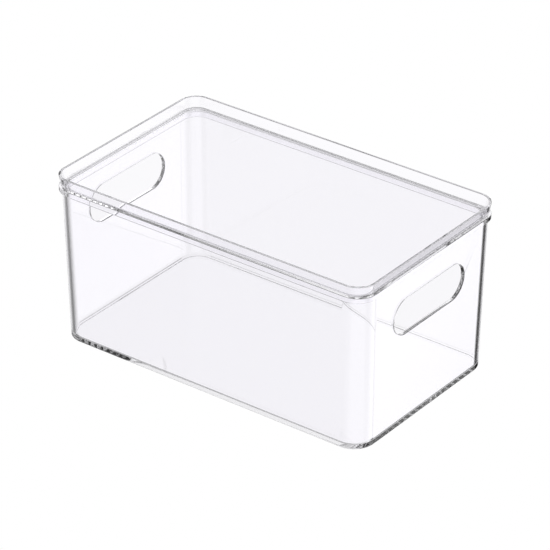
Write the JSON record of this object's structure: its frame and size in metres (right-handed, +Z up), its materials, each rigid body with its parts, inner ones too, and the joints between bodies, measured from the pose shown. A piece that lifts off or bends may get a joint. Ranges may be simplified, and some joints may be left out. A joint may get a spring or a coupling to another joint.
{
  "type": "fridge bin",
  "caption": "Clear rectangular fridge bin with rounded corners, pill-shaped hand slots in the short walls and a lift-off lid with a raised stacking rim.",
  "frame": {"origin": "centre of the base, on the surface the bin stands on", "axes": "+X along the long side, towards one hand slot; +Y across the short side; +Z up, towards the lid"},
  "size_m": [0.318, 0.1904, 0.154],
  "materials": {
    "clear_tub": "clear, high gloss, moulded",
    "clear_lid": "clear, high gloss, moulded"
  },
  "bodies": {
    "bin": {"bin_tub": "clear_tub"},
    "cover": {"lid": "clear_lid"}
  },
  "joints": [
    {"name": "lid_lift", "type": "slide", "parent": "bin", "child": "cover", "axis": [0, 0, 1], "range_m": [0, 0.18]}
  ]
}
